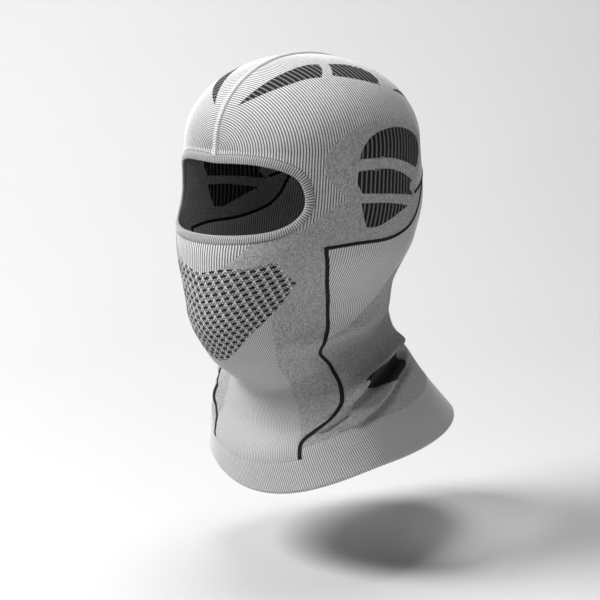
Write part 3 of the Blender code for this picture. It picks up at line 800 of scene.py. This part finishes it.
def hem_relief(points):
    """The folded hem is thicker, rounds over at its edge, and dips under its line of stitches."""
    rise = points[:, 1] * HEM_RISE_MM
    edge = np.clip(1 - rise / 1.6, 0, 1)
    line = np.exp(-((points[:, 1] - HEM_LINE) * HEM_RISE_MM / 1.1) ** 2)
    return -0.9 * edge ** 2 - 0.15 * line


def relief_of(zone, flat, level, depth, ribs):
    height = level + ribbing(flat, ribs, depth) + folds(flat)
    if zone in ("hem_band", "hem_rib", "throat_panel"):
        height = height + hem_relief(flat)
    if zone == "mouth_mesh":
        height = height + eyelets(flat)
    return height


def relaxed_size(flat, triangles, height, whole):
    """Width, length and area in metres of a zone's knit laid flat; worn, it is stretched both ways."""
    used, faces = np.unique(triangles, return_inverse=True)
    places = flat[used]
    half = np.interp(places[:, 1], TURN_RISE, HALF_RING)
    wide = turn_share(places[:, 0], places[:, 1]) * half
    if whole:
        wide = 2 * (wide if wide.min() < 1 else half - wide)
    tall = np.ptp(places[:, 1]) * stretch(places[::9, 0], places[::9, 1])[1].mean()
    points = shell(places[:, 0], places[:, 1])
    points = points + outward(places[:, 0], places[:, 1]) * height[used][:, None]
    corners = points[faces.reshape(-1, 3)]
    across = np.cross(corners[:, 1] - corners[:, 0], corners[:, 2] - corners[:, 0])
    area = np.linalg.norm(across, axis=1).sum() / 2 * (2 if whole else 1)
    wide = (wide.max() if whole else np.ptp(wide)) * MM / WORN_STRETCH
    tall = tall * MM / WORN_STRETCH
    area = area * MM ** 2 / WORN_STRETCH ** 2
    filled = area / (wide * tall)
    fitted = math.sqrt(filled / min(max(filled, LEAST_FILLED), 1))
    return wide * fitted, tall * fitted, area


def knit_zones():
    zones = painted_zones()
    corners, on_line = snapped(*grid(), zones)
    flat, triangles, owners = cells(corners, on_line, zones)
    pieces, sizes = {}, {}
    for zone, (look, slot, level, depth, ribs, whole) in ZONES.items():
        mine = triangles[owners == zone]
        height = np.zeros(len(flat))
        used = np.unique(mine)
        height[used] = relief_of(zone, flat[used], level, depth, ribs)
        for side in (0,) if whole else (1, -1):
            name = zone + {0: "", 1: "_left", -1: "_right"}[side]
            piece = cloth_piece(name + "_knit", flat, mine, height, look, side=side)
            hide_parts(name)
            pieces[name] = piece
            sizes[name] = relaxed_size(flat, mine, height, whole)
    return pieces, sizes


def band_profile(distance):
    """The rolled band: from the shell up over a plump top and round the free edge to the inside."""
    turn = np.linspace(0, 1, 15)
    across = np.concatenate([-BAND_WIDTH * turn, -BAND_WIDTH * turn[::-1][1:-1]])
    plump = np.sin(np.pi * np.clip(turn * 0.93 + 0.07, 0, 1)) ** 0.6
    upper = -0.2 + 1.1 * plump
    lower = -CLOTH - 0.4 * plump[::-1][1:-1]
    height = np.concatenate([upper, lower])
    rib = 0.16 * np.cos(2 * np.pi * distance / BAND_PITCH)
    weight = np.concatenate([np.sin(np.pi * turn) ** 0.4, 0.6 * np.sin(np.pi * turn[::-1][1:-1]) ** 0.4])
    shape = np.zeros((len(distance), len(across), 2))
    shape[:, :, 0] = across + BAND_WIDTH
    shape[:, :, 1] = height + rib[:, None] * weight
    return shape


def resampled(path, step, closed):
    """The path cut into even steps on the cloth, in millimetres."""
    if closed:
        path = np.vstack([path, path[:1]])
    points = shell(path[:, 0], path[:, 1])
    far = distance_along(points)
    count = int(round(far[-1] / step))
    at = np.linspace(0, far[-1], count + 1)
    out = np.stack([np.interp(at, far, path[:, k]) for k in (0, 1)], -1)
    return out[:-1] if closed else out


def whole_opening():
    """The eye opening's closed outline, clockwise from the middle of the brow."""
    left = [p for p in EYE_OPENING[0] if p[0] >= 0]
    loop = np.array(left + [(-a, r) for a, r in left[-2:0:-1]])
    out = []
    for k in range(len(loop)):
        a, b, c, d = (loop[(k + n) % len(loop)] for n in (-1, 0, 1, 2))
        t = np.linspace(0, 1, 24, endpoint=False)[:, None]
        out.append(0.5 * (2 * b + (c - a) * t + (2 * a - 5 * b + 4 * c - d) * t ** 2
                          + (3 * b - a - 3 * c + d) * t ** 3))
    return np.vstack(out)


def eye_band():
    path = resampled(whole_opening(), BAND_PITCH / 6, True)
    # painted shade: the darker level lies in the band's rib valleys
    look = ribbed("band_rib_knit", 0.12, 0.70, 1)
    piece = swept("eye_band_knit", [sweep_of(path, band_profile, True, BAND_PITCH)], look)
    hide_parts("eye_band")
    return piece


def bead_profile(radius, offset, height, pitch):
    """A round thread that swells at each stitch."""
    turn = np.linspace(0, 2 * np.pi, 8, endpoint=False)

    def profile(distance):
        swell = 0.72 + 0.28 * np.abs(np.sin(np.pi * distance / pitch))
        shape = np.zeros((len(distance), len(turn), 2))
        shape[:, :, 0] = offset + radius * swell[:, None] * np.cos(turn)
        shape[:, :, 1] = height + 0.7 * radius * swell[:, None] * np.sin(turn)
        return shape
    return profile


def piping_profile(distance):
    """A low rounded strip that grips the cloth; its edges waver a little, stitch by stitch."""
    across = np.linspace(-1, 1, 9)
    count = len(across)
    waver = 1 + 0.06 * np.sin(2 * np.pi * distance / PIPING_PITCH)[:, None]
    shape = np.zeros((len(distance), 2 * count, 2))
    shape[:, :count, 0] = across * waver * NAPE_PIPING_WIDTH / 2
    shape[:, :count, 1] = 0.62 - 0.5 * np.abs(across) ** 4
    shape[:, count:, 0] = across[::-1] * 0.9 * NAPE_PIPING_WIDTH / 2
    shape[:, count:, 1] = -CLOTH - 0.2
    return shape


def nape_piping():
    """The black line round the back from ear to ear, down in front of it, and its branches."""
    back = smooth_run(NAPE_PIPING_BACK)
    back = back[back[:, 0] < 180]
    whole = np.vstack([back, back[::-1] * (-1, 1) + (360, 0)])
    sweeps = [sweep_of(resampled(whole, 0.6, False), piping_profile, False, PIPING_PITCH)]
    for run in (NAPE_PIPING_SIDE, NAPE_PIPING_BRANCH):
        path = resampled(smooth_run(run), 0.6, False)
        sweeps += [sweep_of(path, piping_profile, False, PIPING_PITCH, side) for side in (1, -1)]
    piece = swept("nape_piping_knit", sweeps, PIPING)
    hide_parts("nape_piping")
    return piece


def eye_stitching():
    path = resampled(whole_opening(), 0.32, True)
    look = plain_knit("band_stitch_thread", 0.22, 1)
    profile = bead_profile(0.5, BAND_WIDTH + 0.3, -0.1, 2 * BAND_PITCH)
    sweeps = [sweep_of(path, profile, True, 2 * BAND_PITCH)]
    piece = swept("eye_band_stitching_knit", sweeps, look)
    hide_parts("eye_band_stitching")
    return piece


def hem_stitching():
    around = np.linspace(0, 360, 1440, endpoint=False)
    path = resampled(np.stack([around, np.full_like(around, HEM_LINE)], -1), 0.4, True)
    look = plain_knit("hem_stitch_thread", 0.36, 1)
    sweeps = [sweep_of(path, bead_profile(0.25, 0, -0.2, HEM_STITCH), True, HEM_STITCH)]
    piece = swept("hem_stitching_knit", sweeps, look)
    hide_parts("hem_stitching")
    return piece


def crown_seam():
    """The raised seam: two rolled edges side by side, with a groove along its left side."""
    across = np.linspace(-SEAM_HALF, SEAM_HALF, SEAM_POINTS)
    rows, normals = [], []

    def row(around, rise):
        flip = np.where(across < 0, -1.0, 1.0)[:, None] * (1, 0, 0) + np.array((0, 1, 1))
        rows.append(shell(around, rise) * flip)
        normals.append(outward(around, rise) * flip)

    def below_brow(rise, behind):
        wide = shell(90.0, rise)[0]
        around = np.degrees(np.arcsin(np.clip(np.abs(across) / wide, 0, 1) ** 1.05))
        row(180 - around if behind else around, np.full(len(across), rise))

    for rise in np.linspace(0.772, 0.779, 6):
        below_brow(rise, False)
    for around in np.linspace(2.6, 177.4, 720):
        wide = shell(around, BROW_RISE)[0]
        rise = 1 - (1 - BROW_RISE) * np.arcsin(np.clip(np.abs(across) / wide, 0, 1)) * 2 / math.pi
        row(np.full(len(across), around), rise)
    for rise in np.linspace(0.779, 0.753, 14):
        below_brow(rise, True)
    rows, normals = np.array(rows), np.array(normals)
    distance = distance_along(rows[:, SEAM_POINTS // 2])
    x = across / SEAM_HALF
    ridge = 1.7 * (1 - ((x + 0.12) / 0.88) ** 4).clip(0, 1) - 0.5 * np.exp(-((x + 0.2) / 0.14) ** 2)
    ridge -= 0.9 * np.exp(-((x - 0.88) / 0.12) ** 2)
    rib = 0.1 * np.cos(2 * np.pi * distance / SEAM_PITCH)[:, None] * (1 - x ** 2)
    top = rows + normals * (ridge + rib)[:, :, None]
    bottom = (rows - normals * (CLOTH + 0.6 * (1 - x ** 4))[:, None])[:, ::-1]
    points = np.concatenate([top, bottom], axis=1)
    count = points.shape[1]
    faces = tube_faces(len(points), count, False)
    uv = np.stack([np.repeat(distance / SEAM_PITCH, count),
                   np.tile(np.linspace(0, 0.024, count), len(points))], -1)
    # painted shade: the darker level lies in the seam's rib valleys
    look = ribbed("seam_knit", 0.40, 0.78, 1)
    piece = mesh_object("crown_seam_knit", points.reshape(-1, 3), faces, uv, look, 70)
    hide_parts("crown_seam")
    return piece


# ---------------------------------------------------------------- stage, light and camera

def soft_light(name, where, towards, size, watts):
    data = bpy.data.lights.new(name, "AREA")
    data.shape = "DISK"
    data.size = size
    data.energy = watts
    lamp = bpy.data.objects.new(name, data)
    lamp.location = where
    lamp.rotation_euler = (Vector(towards) - Vector(where)).to_track_quat("-Z", "Y").to_euler()
    bpy.context.scene.collection.objects.link(lamp)


def backdrop(name, points, faces, pale):
    """A matt paper surface of the stage; pale is its range of grey."""
    data = bpy.data.meshes.new(name)
    data.from_pydata(points, [], faces)
    data.shade_smooth()
    graph = Graph(name + "_paper")
    paper = graph.remap(graph.noise(3.0), 0.3, 0.7, *pale)
    graph.put(graph.shader.inputs["Base Color"], graph.mix(paper, shade_of(0.0), shade_of(1.0)))
    graph.shader.inputs["Roughness"].default_value = 1.0
    data.materials.append(graph.material)
    surface = bpy.data.objects.new(name, data)
    bpy.context.scene.collection.objects.link(surface)
    return surface


def stage():
    """A pale sweep: a floor that curves up behind into a wall."""
    floor, back, bend, wide, high = -0.372, 1.3, 0.7, 4.0, 4.0
    turn = np.linspace(0, math.pi / 2, 13)
    profile = [(-wide, floor), (0.0, floor)]
    profile += [(back - bend + bend * math.sin(a), floor + bend * (1 - math.cos(a))) for a in turn]
    profile.append((back, high))
    angle = math.radians(CAMERA_AZIMUTH)
    behind = np.array((-math.sin(angle), math.cos(angle)))
    beside = np.array((math.cos(angle), math.sin(angle)))
    points = [(*(behind * far + beside * side), height) for far, height in profile for side in (-wide, wide)]
    faces = [(2 * k, 2 * k + 1, 2 * k + 3, 2 * k + 2) for k in range(len(profile) - 1)]
    backdrop("sweep", points, faces, (0.53, 0.54))


def surround():
    """A pale round room outside the sweep, seen past the sweep's edges; it sends no light back."""
    count = 64
    turns = np.linspace(0, 2 * math.pi, count, endpoint=False)
    profile = [(0.02, -0.38), (3.0, -0.38), (3.3, -0.3), (3.5, -0.1), (3.6, 0.3), (3.6, 4.0)]
    points = [(r * math.cos(a), r * math.sin(a), z) for r, z in profile for a in turns]
    faces = []
    for k in range(len(profile) - 1):
        low, high = count * k, count * (k + 1)
        for n in range(count):
            ahead = (n + 1) % count
            faces.append((low + n, low + ahead, high + ahead, high + n))
    backdrop("surround", points, faces, (0.84, 0.86)).visible_diffuse = False


CAMERA_AZIMUTH = 43.1      # degrees round from the face towards the left ear
CAMERA_HEIGHT = 11.6       # degrees above the horizon
CAMERA_FAR = 1.064
CAMERA_TARGET = Vector((-0.0017, 0.0, -0.1775))
CAMERA_LENS = 86.8


def camera():
    a, e = math.radians(CAMERA_AZIMUTH), math.radians(CAMERA_HEIGHT)
    back = Vector((math.sin(a) * math.cos(e), -math.cos(a) * math.cos(e), math.sin(e)))
    data = bpy.data.cameras.new("camera")
    data.lens = CAMERA_LENS
    eye = bpy.data.objects.new("camera", data)
    eye.location = CAMERA_TARGET + back * CAMERA_FAR
    eye.rotation_euler = back.to_track_quat("Z", "Y").to_euler()
    bpy.context.scene.collection.objects.link(eye)
    bpy.context.scene.camera = eye


def lights():
    """A large soft key from the face's side, a weak fill on the ear's side, and light from above."""
    world = bpy.data.worlds.new("studio")
    world.use_nodes = True
    world.node_tree.nodes["Background"].inputs["Strength"].default_value = 0.47
    bpy.context.scene.world = world
    bpy.context.scene.view_settings.view_transform = "Standard"
    soft_light("key", (-1.0, -1.5, 1.6), (0, 0, -0.12), 1.1, 100)
    soft_light("fill", (2.0, -0.6, 0.3), (0, 0, -0.15), 1.2, 9)
    soft_light("top", (-0.2, 0.1, 1.8), (0, 0, 0), 0.9, 23)


def write_size():
    def corner(v):
        return [round(float(x), 5) for x in v]


pieces, sizes = knit_zones()
pieces["eye_band"] = eye_band()
pieces["eye_band_stitching"] = eye_stitching()
pieces["hem_stitching"] = hem_stitching()
pieces["crown_seam"] = crown_seam()
pieces["nape_piping"] = nape_piping()
stage()
surround()
lights()
camera()
write_size()
